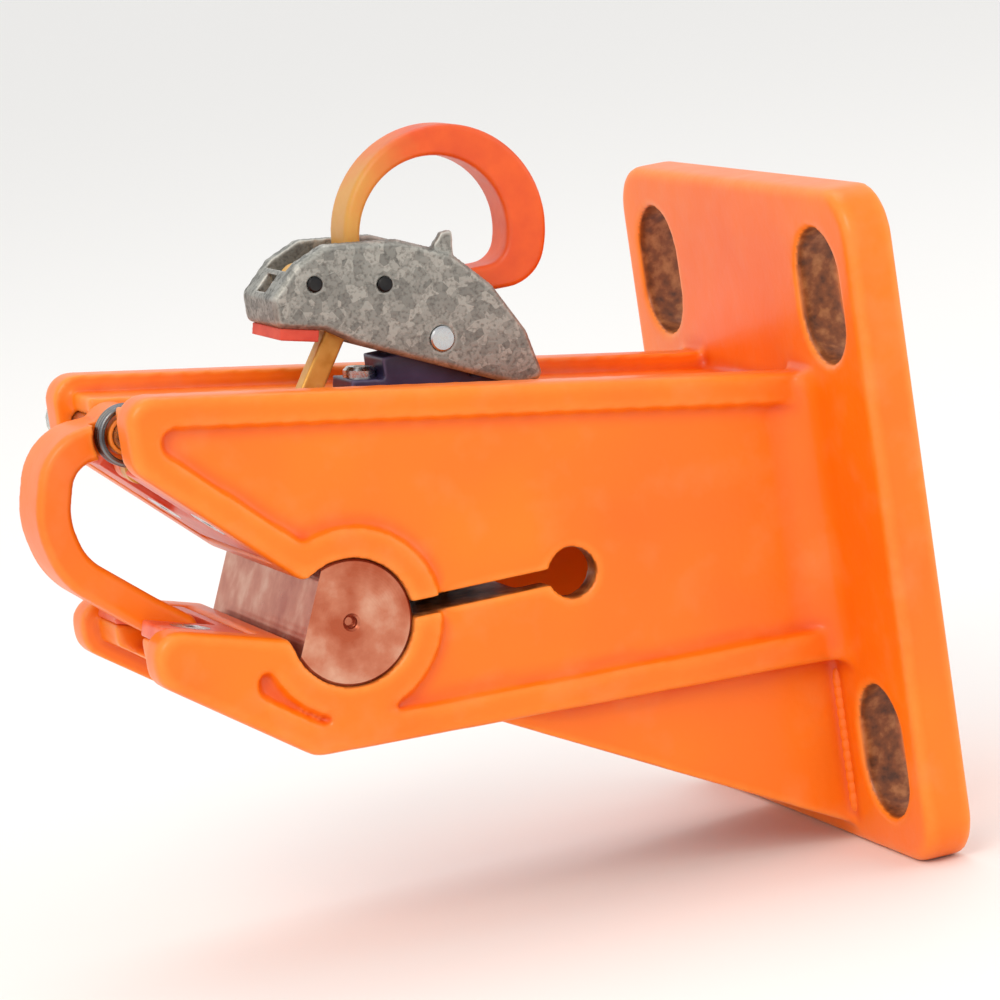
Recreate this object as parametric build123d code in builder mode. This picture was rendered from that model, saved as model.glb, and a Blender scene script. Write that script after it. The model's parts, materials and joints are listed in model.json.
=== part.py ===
"""Beam clamp with a bolt-on base plate and a sprung safety gate, in millimetres.

Frame: the origin is the centre of the base plate's back face. +X points out of that
face, the jaws reach towards -X, +Z is up and Y runs across the clamp.
"""
import os
from math import atan2, cos, hypot, radians, sin

from build123d import *

os.makedirs("parts", exist_ok=True)

# ---------------------------------------------------------------- driving dimensions
# Base plate and its four upright oval bolt holes.
plate_height = 135.0
plate_width = 116.0
plate_thick = 10.0
plate_corner_r = 10.0
plate_edge_r = 2.0
bolt_spacing_y = 82.0
bolt_spacing_z = 92.0
bolt_hole_width = 20.0
bolt_hole_height = 27.0

# Two cheeks, seen from the side.
nose_x = -149.0
nose_top_z = 51.5
nose_under_z = 37.0
root_top_z = 30.0
root_under_z = -28.5
heel_x = -122.0
heel_z = -24.5
lower_nose_x = -151.0
lower_nose_top_z = 7.0
lower_nose_under_z = -4.0

# Cheeks, seen from above.
cheek_gap = 43.0
cheek_thick = 6.0
rim_proud = 2.5
rim_width = 6.0
corner_r = 5.0
panel_corner_r = 3.0
rim_edge_r = 1.8
runout_r = 9.0

# Round pocket at the back of the mouth, the slit behind it and its stop hole.
pocket_x = -111.0
pocket_z = 0.0
pocket_r = 12.5
pocket_upper_angle = 130.0
pocket_lower_angle = 184.0
stop_hole_x = -64.0
stop_hole_r = 5.0
slit_height = 3.0

# Walls between the cheeks.
wall = 5.0
wall_inset = 3.5
window_front = 42.0
window_back = 20.5
window_width = 28.0
rib_back_x = -74.0
rib_half_height = 14.0

# Gussets that carry the cheeks down to the foot of the plate.
gusset_thick = 6.0
gusset_inset = 3.5
gusset_front_x = -84.0
gusset_foot_z = -64.0

# Safety gate, its hinge and its crank.
gate_pivot_x = -143.0
gate_pivot_z = 41.0
gate_width = 15.0
gate_thick = 7.0
gate_boss_r = 5.5
gate_side_gap = 1.0
gate_pin_r = 3.0
gate_tip_x = -138.5
gate_tip_z = 1.2
gate_belly_x = -160.5
gate_bend_radii = [9.0, 16.0, 14.0, 20.0]
hinge_head_r = 5.5
hinge_head_height = 3.0
crank_r = 8.0
crank_angle = 25.0
crank_eye_r = 3.4

# Release lever, its pedestal and its pivot.
lever_pivot_x = -77.5
lever_pivot_z = 48.0
lever_width = 20.0
lever_side_thick = 3.6
lever_corner_r = 1.6
lever_edge = 0.8
lever_nose_length = 28.5
lever_tail_length = 15.5
lever_bridge_height = 17.5
tab_reach = 3.6
tab_length = 4.0
tab_height = 4.2
tab_thick = 2.2
lever_pin_r = 2.5
pin_proud = 0.6
pad_thick = 2.4
pad_length = 8.0
pad_inset = 1.0
pedestal_side_gap = 0.4
pedestal_r = 6.0
pedestal_foot_thick = 3.0
pedestal_foot_front = 19.0
pedestal_shoulder_front = 11.6
pedestal_shoulder_drop = 2.0
pedestal_foot_back = 14.5
pedestal_screw_front = 15.4
pedestal_screw_back = 10.2
screw_head_r = 3.3
screw_head_height = 2.2

# Link between lever and gate.
link_top_reach = 24.3
link_top_rise = 15.3
link_knee_reach = 18.3
link_knee_rise = 5.0
link_elbow_reach = 28.5
link_elbow_drop = 10.5
link_bend_r = 3.0
link_thick = 4.0
link_bar = 4.4
link_eye_r = 3.6
link_pin_r = 1.5
open_pivot_clearance = 0.75
link_eye_room = 0.8
link_way_floor = 29.5

# Pull ring and the pin it swings on.
ring_reach = 6.0
ring_rise = 20.0
ring_outer_r = 21.2
ring_inner_r = 15.4
ring_hole_shift = 2.5
ring_side_gap = 1.4
ring_edge_r = 1.2
ring_corner_r = 9.0
ring_hole_corner_r = 5.0
ring_bar = 5.2
ring_floor_gap = 0.7
ring_pin_reach = 10.1
ring_pin_rise = 12.7
ring_pin_r = 1.5
ring_lobe_r = 3.6

# Jaw liners and their screws.
liner_thick = 3.2
liner_side_gap = 0.2
liner_end_gap = 1.2
liner_screw_spread = 29.0
liner_screw_r = 2.0
liner_screw_head_r = 4.0
liner_screw_depth = 8.0

# Swivel seat in the pocket, its stop screw, and the pinch screw.
seat_clearance = 0.08
seat_flat = 8.5
seat_recess = 1.0
seat_centre_r = 1.3
seat_centre_depth = 2.0
seat_swing = 8.0
stop_screw_r = 2.5
stop_dog_r = 1.6
stop_dog_reach = 2.2
pinch_x = -84.5
pinch_screw_r = 4.0
pinch_head_r = 6.5
pinch_head_height = 8.0
pinch_washer_r = 8.0
pinch_washer_thick = 1.6

# Fits.
running = 0.05
bolt_clearance = 0.4

# Gate spring.
spring_wire = 1.3
spring_turns = 3
spring_gap = 0.15

# ---------------------------------------------------------------- derived places
web_y = cheek_gap / 2 + cheek_thick
rim_y = web_y + rim_proud
inner_y = cheek_gap / 2
gate_slot_y = gate_width / 2 + gate_side_gap
gate_bore_y = inner_y + cheek_thick / 2
top_slope = (nose_top_z - root_top_z) / (nose_x + plate_thick)


def on_pocket(angle, radius=pocket_r):
    """A point at an angle round the pocket, in the side view."""
    return (pocket_x + radius * cos(radians(angle)), pocket_z + radius * sin(radians(angle)))


def top_z(x):
    """Height of the cheeks' top edge at a place along the clamp."""
    return root_top_z + (x + plate_thick) * top_slope


upper_lip = on_pocket(pocket_upper_angle)
lower_lip = on_pocket(pocket_lower_angle)
pocket_centre = (pocket_x, pocket_z)
upper_nose_under = (nose_x, nose_under_z)
lower_nose_top = (lower_nose_x, lower_nose_top_z)

cheek_points = [
    (-plate_thick, root_top_z),
    (nose_x, nose_top_z),
    upper_nose_under,
    upper_lip,
    pocket_centre,
    lower_lip,
    lower_nose_top,
    (lower_nose_x, lower_nose_under_z),
    (heel_x, heel_z),
    (-plate_thick, root_under_z),
]
rounded_points = [cheek_points[1], cheek_points[2], cheek_points[6], cheek_points[7], cheek_points[8]]
mouth_front_x = min(nose_x, lower_nose_x) - 2 * gate_thick
mouth_points = [
    pocket_centre,
    upper_lip,
    upper_nose_under,
    (mouth_front_x, nose_under_z),
    (mouth_front_x, lower_nose_top_z),
    lower_nose_top,
    lower_lip,
]
window_front_x = lever_pivot_x - window_front
window_back_x = lever_pivot_x - window_back
gate_slot_back_x = gate_pivot_x + 2 * gate_boss_r
gate_tip_floor = gate_tip_z - gate_thick / 2 - gate_side_gap
slope_angle = atan2(-top_slope, 1)
runout_dip = runout_r * (1 - cos(radians(45)))
link_top = (lever_pivot_x - link_top_reach, lever_pivot_z + link_top_rise)
link_knee = (lever_pivot_x - link_knee_reach, lever_pivot_z + link_knee_rise)
link_elbow = (lever_pivot_x - link_elbow_reach, lever_pivot_z - link_elbow_drop)
ring_pin_place = (lever_pivot_x - ring_pin_reach, lever_pivot_z + ring_pin_rise)
lever_inner_y = lever_width / 2 - lever_side_thick
ring_half_width = lever_inner_y - ring_side_gap
ring_x = lever_pivot_x + ring_reach
ring_z = lever_pivot_z + ring_rise
ring_floor_z = lever_pivot_z + pedestal_r + ring_floor_gap
crank_pin = (
    gate_pivot_x + crank_r * sin(radians(crank_angle)),
    gate_pivot_z - crank_r * cos(radians(crank_angle)),
)


def nearest(shapes, points):
    """The shape nearest to each point of a list."""
    return [shapes.sort_by_distance(Vector(*point))[0] for point in points]


def under_z(x):
    """Height of the cheeks' bottom edge between heel and root."""
    return heel_z + (root_under_z - heel_z) * (x - heel_x) / (-plate_thick - heel_x)


def floor_z(x):
    """Height of the channel floor between the cheeks."""
    return top_z(x) - wall_inset / cos(slope_angle)


def jaw_strip(start, end, side, near, far, trim_start, trim_end):
    """Four corners of a strip along a jaw face, between two depths below that face."""
    length = hypot(end[0] - start[0], end[1] - start[1])
    along = ((end[0] - start[0]) / length, (end[1] - start[1]) / length)
    inward = (-side * along[1], side * along[0])
    corners = []
    end_reach = length - trim_end
    for reach, depth in [(trim_start, near), (end_reach, near), (end_reach, far), (trim_start, far)]:
        corners.append(
            (
                start[0] + along[0] * reach + inward[0] * depth,
                start[1] + along[1] * reach + inward[1] * depth,
            )
        )
    return corners


def jaw_plane(corners, share, y):
    """A plane on a strip's outer face, at a share of its length, facing the mouth."""
    x = corners[0][0] + (corners[1][0] - corners[0][0]) * share
    z = corners[0][1] + (corners[1][1] - corners[0][1]) * share
    out = (corners[0][0] - corners[3][0], 0, corners[0][1] - corners[3][1])
    return Plane(origin=(x, y, z), z_dir=out)


def finish(part, name):
    """Label a finished piece and write it to its STEP file."""
    part.label = name
    export_step(part, f"parts/{name}.step")


pedestal_screw_places = [
    Plane(origin=(x, 0, floor_z(x)), z_dir=(sin(slope_angle), 0, cos(slope_angle)))
    for x in (lever_pivot_x - pedestal_screw_front, lever_pivot_x + pedestal_screw_back)
]
liner_near = wall_inset - liner_thick
upper_strip = jaw_strip(
    upper_lip, upper_nose_under, -1, liner_near, wall_inset, wall + liner_end_gap, liner_end_gap + wall_inset
)
lower_strip = jaw_strip(
    lower_lip, lower_nose_top, 1, liner_near, wall_inset, wall + liner_end_gap, liner_end_gap + wall_inset
)
liner_screw_ys = (-liner_screw_spread / 2, liner_screw_spread / 2)
upper_screw_places = [jaw_plane(upper_strip, 0.4, y) for y in liner_screw_ys]
lower_screw_places = [jaw_plane(lower_strip, 0.55, y) for y in liner_screw_ys]

# The walls' outline reaches so far back that it meets the plate once it is inset.
core_back_x = wall_inset - plate_thick
core_points = [(core_back_x, top_z(core_back_x)), *cheek_points[1:-1], (core_back_x, under_z(core_back_x))]

# ---------------------------------------------------------------- cast body
with BuildSketch(Plane.XZ) as cheek_outline:
    with BuildLine():
        Polyline(*cheek_points, close=True)
    make_face()
    fillet(nearest(cheek_outline.vertices(), rounded_points), corner_r)

with BuildSketch(Plane.XZ) as core_outline:
    with BuildLine():
        Polyline(*core_points, close=True)
    make_face()
    offset(amount=-wall_inset, kind=Kind.INTERSECTION)
    with Locations(pocket_centre):
        Circle(pocket_r + wall)
    with BuildLine():
        Polyline(*mouth_points, close=True)
    make_face(mode=Mode.SUBTRACT)

with BuildSketch(Plane.XZ) as cavity_outline:
    with BuildLine():
        Polyline(*core_points, close=True)
    make_face()
    offset(amount=-(wall_inset + wall), kind=Kind.INTERSECTION)
    with Locations(pocket_centre):
        Circle(pocket_r + wall, mode=Mode.SUBTRACT)
    with Locations(((pocket_x + rib_back_x) / 2, pocket_z)):
        Rectangle(rib_back_x - pocket_x, 2 * rib_half_height, mode=Mode.SUBTRACT)

with BuildSketch(Plane.XZ) as panel_outline:
    with BuildLine():
        Polyline((rim_width, top_z(rim_width)), *cheek_points[1:-1], (rim_width, root_under_z), close=True)
    make_face()
    offset(amount=-(rim_width + panel_corner_r), kind=Kind.INTERSECTION)
    offset(amount=panel_corner_r, kind=Kind.ARC)
    with Locations(pocket_centre):
        Circle(pocket_r + rim_width, mode=Mode.SUBTRACT)

with BuildPart() as base_plate:
    with BuildSketch(Plane.YZ.offset(-plate_thick)) as plate_face:
        RectangleRounded(plate_width, plate_height, plate_corner_r)
    extrude(amount=plate_thick)
    fillet(base_plate.faces().sort_by(Axis.X)[0].edges(), plate_edge_r)
    fillet(base_plate.faces().sort_by(Axis.X)[-1].edges(), plate_edge_r / 2)
    with BuildSketch(Plane.YZ) as bolt_holes:
        with GridLocations(bolt_spacing_y, bolt_spacing_z, 2, 2):
            SlotOverall(bolt_hole_height, bolt_hole_width, rotation=90)
    extrude(amount=-plate_thick, mode=Mode.SUBTRACT)
finish(base_plate.part, "base_plate")

with BuildSketch(Plane.XZ) as pocket_cut:
    with Locations(pocket_centre):
        Circle(pocket_r)
    with Locations((stop_hole_x, pocket_z)):
        Circle(stop_hole_r)
    with Locations(((pocket_x + stop_hole_x) / 2, pocket_z)):
        Rectangle(stop_hole_x - pocket_x, slit_height)

# Blind bore for the gate's hinge screw, entered from the far cheek.
with BuildSketch(Plane.XZ.offset(gate_bore_y)) as gate_bore:
    with Locations((gate_pivot_x, gate_pivot_z)):
        Circle(gate_pin_r + running)

with BuildPart() as side_cheeks:
    # Both cheeks with their raised rims, as one block that is opened up afterwards.
    with BuildSketch(Plane.XZ) as cheek_face:
        add(cheek_outline.sketch)
    extrude(amount=rim_y, both=True)
    outline_edges = side_cheeks.edges().filter_by(Plane.XZ)
    fillet(outline_edges.group_by(Axis.Y)[0] + outline_edges.group_by(Axis.Y)[-1], rim_edge_r)
    for side in (-1, 1):
        with BuildSketch(Plane.XZ.offset(side * rim_y)) as panel_face:
            add(panel_outline.sketch)
        extrude(amount=-side * rim_proud, mode=Mode.SUBTRACT)
    with BuildSketch(Plane.XZ) as gap_face:
        with Locations(((mouth_front_x - plate_thick) / 2, 0)):
            Rectangle(-plate_thick - mouth_front_x, 2 * plate_height)
    extrude(amount=inner_y, both=True, mode=Mode.SUBTRACT)
    # Concave run-out where the cheeks meet the base plate.
    for side in (-1, 1):
        with BuildSketch(Plane.XY.offset(root_under_z)) as runout_face:
            with BuildLine():
                Line((-plate_thick - runout_r, side * web_y), (-plate_thick, side * web_y))
                Line((-plate_thick, side * web_y), (-plate_thick, side * (web_y + runout_r)))
                ThreePointArc(
                    (-plate_thick, side * (web_y + runout_r)),
                    (-plate_thick - runout_dip, side * (web_y + runout_dip)),
                    (-plate_thick - runout_r, side * web_y),
                )
            make_face()
        extrude(amount=root_top_z - root_under_z)
    extrude(pocket_cut.sketch, amount=plate_width, both=True, mode=Mode.SUBTRACT)
    extrude(gate_bore.sketch, amount=-(gate_bore_y + plate_width), mode=Mode.SUBTRACT)
finish(side_cheeks.part, "side_cheeks")

with BuildPart() as cross_walls:
    with BuildSketch(Plane.XZ) as core_face:
        add(core_outline.sketch)
        add(cavity_outline.sketch, mode=Mode.SUBTRACT)
    extrude(amount=inner_y, both=True)
    # Open the underside behind the pinch rib.
    with BuildSketch(Plane.XZ) as under_opening:
        with Locations(((rib_back_x - plate_thick - wall) / 2, -rib_half_height - plate_height / 2)):
            Rectangle(-plate_thick - wall - rib_back_x, plate_height)
    extrude(amount=inner_y, both=True, mode=Mode.SUBTRACT)
    extrude(pocket_cut.sketch, amount=plate_width, both=True, mode=Mode.SUBTRACT)
    extrude(gate_bore.sketch, amount=-(gate_bore_y + plate_width), mode=Mode.SUBTRACT)
    # Slots for the gate in both noses, and for the lever and link in the top wall.
    with BuildSketch(Plane.XY.offset(gate_tip_floor)) as gate_slots:
        with Locations(((mouth_front_x + gate_slot_back_x) / 2, 0)):
            Rectangle(gate_slot_back_x - mouth_front_x, 2 * gate_slot_y)
    extrude(amount=plate_height, mode=Mode.SUBTRACT)
    with BuildSketch(Plane.XY.offset(nose_under_z - wall)) as lever_window:
        with Locations(((window_front_x + window_back_x) / 2, 0)):
            Rectangle(window_back_x - window_front_x, window_width)
    extrude(amount=2 * wall_inset + 2 * wall, mode=Mode.SUBTRACT)
    with BuildSketch(Plane.XZ) as link_way:
        with Locations(((gate_slot_back_x + window_front_x) / 2, (gate_pivot_z + link_way_floor) / 2)):
            Rectangle(window_front_x - gate_slot_back_x + wall, gate_pivot_z - link_way_floor)
    extrude(amount=link_thick / 2 + gate_side_gap, both=True, mode=Mode.SUBTRACT)
    # Tapped holes for the pedestal screws and the liner screws.
    for place in pedestal_screw_places + upper_screw_places + lower_screw_places:
        with BuildSketch(place) as tapped_hole:
            Circle(liner_screw_r)
        extrude(amount=-liner_screw_depth, mode=Mode.SUBTRACT)
    # Pinch screw: clearance below the slit, thread above it, seat in the underside.
    with BuildSketch(Plane.XY) as pinch_bore:
        with Locations((pinch_x, 0)):
            Circle(pinch_screw_r + bolt_clearance)
    extrude(amount=-plate_height, mode=Mode.SUBTRACT)
    with BuildSketch(Plane.XY) as pinch_thread:
        with Locations((pinch_x, 0)):
            Circle(pinch_screw_r)
    extrude(amount=rib_half_height, mode=Mode.SUBTRACT)
    with BuildSketch(Plane.XY.offset(-rib_half_height)) as pinch_seat:
        with Locations((pinch_x, 0)):
            Circle(pinch_washer_r + bolt_clearance)
    extrude(amount=-plate_height, mode=Mode.SUBTRACT)
    # Stop screw below the pocket.
    with BuildSketch(Plane.XY) as stop_bore:
        with Locations((pocket_x, 0)):
            Circle(stop_screw_r)
    extrude(amount=-plate_height, mode=Mode.SUBTRACT)
finish(cross_walls.part, "cross_walls")

# ---------------------------------------------------------------- gussets below the cheeks
with BuildPart() as gussets:
    for side in (-1, 1):
        with BuildSketch(Plane.XZ.offset(side * (web_y - gusset_inset))) as gusset_face:
            with BuildLine():
                Polyline(
                    (gusset_front_x, under_z(gusset_front_x)),
                    (-plate_thick, gusset_foot_z),
                    (-plate_thick, root_under_z),
                    close=True,
                )
            make_face()
        extrude(amount=-side * gusset_thick)
finish(gussets.part, "gussets")

# ---------------------------------------------------------------- jaw liners
for name, strip, places in [
    ("upper_jaw_liner", upper_strip, upper_screw_places),
    ("lower_jaw_liner", lower_strip, lower_screw_places),
]:
    with BuildPart() as liner:
        with BuildSketch(Plane.XZ) as liner_face:
            with BuildLine():
                Polyline(*strip, close=True)
            make_face()
        extrude(amount=inner_y - liner_side_gap, both=True)
        with BuildSketch(Plane.XY.offset(-plate_height)) as liner_notch:
            with Locations(((mouth_front_x + gate_slot_back_x) / 2, 0)):
                Rectangle(gate_slot_back_x - mouth_front_x, 2 * gate_slot_y)
        extrude(amount=2 * plate_height, mode=Mode.SUBTRACT)
        with Locations(*places):
            CounterSinkHole(liner_screw_r + running, liner_screw_head_r + running, depth=wall_inset)
    finish(liner.part, name)
    with BuildPart() as screws:
        for place in places:
            with BuildSketch(place.offset(-running)) as head_face:
                Circle(liner_screw_head_r - running)
            with BuildSketch(place.offset(running - liner_screw_head_r + liner_screw_r)) as neck_face:
                Circle(liner_screw_r)
            loft()
            with BuildSketch(place.offset(running - liner_screw_head_r + liner_screw_r)) as shank_face:
                Circle(liner_screw_r)
            extrude(amount=liner_screw_head_r - liner_screw_r - liner_screw_depth)
            with BuildSketch(place.offset(-running)) as socket_face:
                RegularPolygon(liner_screw_r * 0.6, 6)
            extrude(amount=-liner_screw_r, mode=Mode.SUBTRACT)
    finish(screws.part, name.replace("liner", "liner_screws"))

# ---------------------------------------------------------------- swivel seat in the pocket
seat_r = pocket_r - seat_clearance
mouth_angle = (pocket_upper_angle + pocket_lower_angle) / 2
stop_slot_half = stop_dog_r + seat_r * sin(radians(seat_swing)) + bolt_clearance
with BuildPart() as swivel_seat:
    with BuildSketch(Plane.XZ) as seat_face:
        with Locations(pocket_centre):
            Circle(seat_r)
        with Locations(Location((*on_pocket(mouth_angle, seat_flat + seat_r), 0), mouth_angle)):
            Rectangle(2 * seat_r, 2 * seat_r, mode=Mode.SUBTRACT)
    extrude(amount=rim_y - seat_recess, both=True)
    for side in (-1, 1):
        with BuildSketch(Plane.XZ.offset(side * (rim_y - seat_recess))) as centre_drill:
            with Locations(pocket_centre):
                Circle(seat_centre_r)
        extrude(amount=-side * seat_centre_depth, mode=Mode.SUBTRACT)
    with BuildSketch(Plane.XY.offset(pocket_z - seat_r)) as stop_slot:
        with Locations((pocket_x, 0)):
            SlotOverall(2 * stop_slot_half, 2 * (stop_dog_r + bolt_clearance))
    extrude(amount=stop_dog_reach + bolt_clearance, mode=Mode.SUBTRACT)
    chamfer(swivel_seat.edges().filter_by(GeomType.CIRCLE).filter_by(Plane.XZ), seat_recess / 2)
finish(swivel_seat.part, "swivel_seat")

stop_tip_z = pocket_z - seat_r + stop_dog_reach
stop_shoulder_z = pocket_z - pocket_r - bolt_clearance
with BuildPart() as stop_screw:
    with BuildSketch(Plane.XY.offset(stop_shoulder_z)) as stop_body:
        with Locations((pocket_x, 0)):
            Circle(stop_screw_r)
    extrude(amount=heel_z + wall_inset - stop_shoulder_z)
    with BuildSketch(Plane.XY.offset(stop_shoulder_z)) as stop_dog:
        with Locations((pocket_x, 0)):
            Circle(stop_dog_r)
    extrude(amount=stop_tip_z - stop_shoulder_z)
    with BuildSketch(Plane.XY.offset(heel_z + wall_inset)) as stop_socket:
        with Locations((pocket_x, 0)):
            RegularPolygon(stop_screw_r / 2, 6)
    extrude(amount=stop_screw_r, mode=Mode.SUBTRACT)
finish(stop_screw.part, "seat_stop_screw")

# ---------------------------------------------------------------- pinch screw and washer
washer_z = -rib_half_height - pinch_washer_thick
with BuildPart() as pinch_washer:
    with BuildSketch(Plane.XY.offset(washer_z)) as washer_face:
        with Locations((pinch_x, 0)):
            Circle(pinch_washer_r)
            Circle(pinch_screw_r + bolt_clearance, mode=Mode.SUBTRACT)
    extrude(amount=pinch_washer_thick)
finish(pinch_washer.part, "pinch_washer")

with BuildPart() as pinch_screw:
    with BuildSketch(Plane.XY.offset(washer_z)) as pinch_shank:
        with Locations((pinch_x, 0)):
            Circle(pinch_screw_r)
    extrude(amount=2 * rib_half_height + pinch_washer_thick)
    with BuildSketch(Plane.XY.offset(washer_z)) as pinch_head:
        with Locations((pinch_x, 0)):
            Circle(pinch_head_r)
    extrude(amount=-pinch_head_height)
    chamfer(pinch_screw.faces().sort_by(Axis.Z)[0].edges(), pinch_screw_r / 5)
    with BuildSketch(Plane.XY.offset(washer_z - pinch_head_height)) as pinch_socket:
        with Locations((pinch_x, 0)):
            RegularPolygon(pinch_screw_r * 0.85, 6)
    extrude(amount=pinch_screw_r, mode=Mode.SUBTRACT)
finish(pinch_screw.part, "pinch_screw")

# ---------------------------------------------------------------- safety gate
gate_line_points = [
    (gate_pivot_x, gate_pivot_z),
    (gate_pivot_x - 14.0, gate_pivot_z - 0.5),
    (gate_belly_x, gate_pivot_z - 14.0),
    (gate_belly_x + 2.5, gate_pivot_z - 24.0),
    (gate_tip_x - 6.0, gate_tip_z + 4.5),
    (gate_tip_x, gate_tip_z),
]
hub_pocket_r = crank_r - gate_side_gap
with BuildPart() as gate:
    with BuildSketch(Plane.XZ) as gate_face:
        with BuildLine():
            FilletPolyline(*gate_line_points, radius=gate_bend_radii)
            offset(amount=gate_thick / 2, side=Side.BOTH)
        make_face()
        with Locations((gate_pivot_x, gate_pivot_z)):
            Circle(gate_boss_r)
    extrude(amount=gate_width / 2, both=True)
    chamfer(gate.edges().filter_by(Plane.XZ), gate_side_gap)
    with BuildSketch(Plane.XZ.offset(-link_thick / 2 - bolt_clearance)) as crank_face:
        with Locations(crank_pin):
            Circle(crank_eye_r)
        with BuildLine():
            Polyline(
                (gate_pivot_x - crank_eye_r, gate_pivot_z - crank_eye_r / 2),
                (gate_pivot_x + crank_eye_r, gate_pivot_z),
                (crank_pin[0] + crank_eye_r, crank_pin[1]),
                (crank_pin[0] - crank_eye_r, crank_pin[1]),
                close=True,
            )
        make_face()
    extrude(amount=-(gate_width / 2 - link_thick / 2 - bolt_clearance))
    # Room for the link's eye in the middle and for the coil spring on the near side.
    with BuildSketch(Plane.XZ) as eye_room:
        with Locations(crank_pin):
            Circle(link_eye_r + link_eye_room)
        with Locations((crank_pin[0] + gate_boss_r, crank_pin[1] + link_eye_r)):
            Rectangle(2 * gate_boss_r, 4 * link_eye_r)
    extrude(amount=link_thick / 2 + bolt_clearance, both=True, mode=Mode.SUBTRACT)
    with BuildSketch(Plane.XZ.offset(link_thick / 2 + bolt_clearance)) as spring_room:
        with Locations((gate_pivot_x, gate_pivot_z)):
            Circle(hub_pocket_r)
            Circle(gate_pin_r + gate_side_gap, mode=Mode.SUBTRACT)
    extrude(amount=gate_width, mode=Mode.SUBTRACT)
    with BuildSketch(Plane.XZ) as hinge_bore:
        with Locations((gate_pivot_x, gate_pivot_z)):
            Circle(gate_pin_r + running)
        with Locations(crank_pin):
            Circle(link_pin_r)
    extrude(amount=gate_width, both=True, mode=Mode.SUBTRACT)
finish(gate.part, "gate")

with BuildPart() as hinge_screw:
    with BuildSketch(Plane.XZ.offset(gate_bore_y - bolt_clearance)) as hinge_shank:
        with Locations((gate_pivot_x, gate_pivot_z)):
            Circle(gate_pin_r)
    extrude(amount=-(gate_bore_y - bolt_clearance + rim_y))
    with BuildSketch(Plane.XZ.offset(-rim_y)) as hinge_head:
        with Locations((gate_pivot_x, gate_pivot_z)):
            Circle(hinge_head_r)
    extrude(amount=-hinge_head_height)
    chamfer(hinge_screw.faces().sort_by(Axis.Y)[-1].edges(), hinge_head_height / 4)
    with BuildSketch(Plane.XZ.offset(-rim_y - hinge_head_height)) as hinge_socket:
        with Locations((gate_pivot_x, gate_pivot_z)):
            RegularPolygon(gate_pin_r * 0.75, 6)
    extrude(amount=hinge_head_height * 0.7, mode=Mode.SUBTRACT)
finish(hinge_screw.part, "gate_hinge_screw")

with BuildPart() as crank_pin_part:
    with BuildSketch(Plane.XZ.offset(link_thick / 2 + bolt_clearance)) as crank_pin_face:
        with Locations(crank_pin):
            Circle(link_pin_r)
    extrude(amount=-(link_thick / 2 + bolt_clearance + gate_width / 2))
finish(crank_pin_part.part, "crank_pin")

spring_mid_r = (gate_pin_r + gate_side_gap + hub_pocket_r) / 2
spring_pitch = spring_wire + spring_gap
with BuildPart() as gate_spring:
    with BuildLine() as spring_line:
        Helix(
            pitch=spring_pitch,
            height=spring_pitch * spring_turns,
            radius=spring_mid_r,
            center=(gate_pivot_x, -(link_thick / 2 + bolt_clearance + spring_wire), gate_pivot_z),
            direction=(0, -1, 0),
        )
    with BuildSketch(Plane(origin=spring_line.line @ 0, z_dir=spring_line.line % 0)) as wire_face:
        Circle(spring_wire / 2)
    sweep()
finish(gate_spring.part, "gate_spring")

# ---------------------------------------------------------------- lever pedestal
foot_xs = (lever_pivot_x - pedestal_foot_front, lever_pivot_x + pedestal_foot_back)
foot_normal = (sin(slope_angle), cos(slope_angle))
shoulder_x = lever_pivot_x - pedestal_shoulder_front
with BuildPart() as pedestal:
    with BuildSketch(Plane.XZ) as pedestal_face:
        with BuildLine():
            Polyline(
                (foot_xs[0], floor_z(foot_xs[0])),
                (foot_xs[1], floor_z(foot_xs[1])),
                (
                    foot_xs[1] + foot_normal[0] * pedestal_foot_thick,
                    floor_z(foot_xs[1]) + foot_normal[1] * pedestal_foot_thick,
                ),
                (
                    foot_xs[0] + foot_normal[0] * pedestal_foot_thick,
                    floor_z(foot_xs[0]) + foot_normal[1] * pedestal_foot_thick,
                ),
                close=True,
            )
        make_face()
        with BuildLine():
            Polyline(
                (lever_pivot_x - pedestal_r, floor_z(lever_pivot_x - pedestal_r)),
                (lever_pivot_x + pedestal_r, floor_z(lever_pivot_x + pedestal_r)),
                (lever_pivot_x + pedestal_r, lever_pivot_z),
                (lever_pivot_x - pedestal_r, lever_pivot_z),
                close=True,
            )
        make_face()
        with BuildLine():
            Polyline(
                (shoulder_x, floor_z(shoulder_x)),
                (lever_pivot_x, floor_z(lever_pivot_x)),
                (lever_pivot_x, lever_pivot_z - pedestal_shoulder_drop),
                (shoulder_x, lever_pivot_z - pedestal_shoulder_drop),
                close=True,
            )
        make_face()
        with Locations((lever_pivot_x, lever_pivot_z)):
            Circle(pedestal_r)
            Circle(lever_pin_r + running, mode=Mode.SUBTRACT)
    extrude(amount=lever_inner_y - pedestal_side_gap, both=True)
    for place in pedestal_screw_places:
        with BuildSketch(place) as foot_hole:
            Circle(liner_screw_r + running)
        extrude(amount=pedestal_foot_thick * 2, mode=Mode.SUBTRACT)
finish(pedestal.part, "lever_pedestal")

with BuildPart() as pedestal_screws:
    for place in pedestal_screw_places:
        with BuildSketch(place.offset(pedestal_foot_thick)) as button_face:
            Circle(screw_head_r)
        extrude(amount=screw_head_height)
        with BuildSketch(place.offset(pedestal_foot_thick)) as screw_shank:
            Circle(liner_screw_r)
        extrude(amount=-(pedestal_foot_thick + wall))
    chamfer(pedestal_screws.faces().group_by(Axis.Z)[-1].edges(), screw_head_height / 3)
    for place in pedestal_screw_places:
        with BuildSketch(place.offset(pedestal_foot_thick + screw_head_height)) as button_socket:
            RegularPolygon(liner_screw_r * 0.65, 6)
        extrude(amount=-screw_head_height * 0.7, mode=Mode.SUBTRACT)
finish(pedestal_screws.part, "pedestal_screws")

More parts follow.
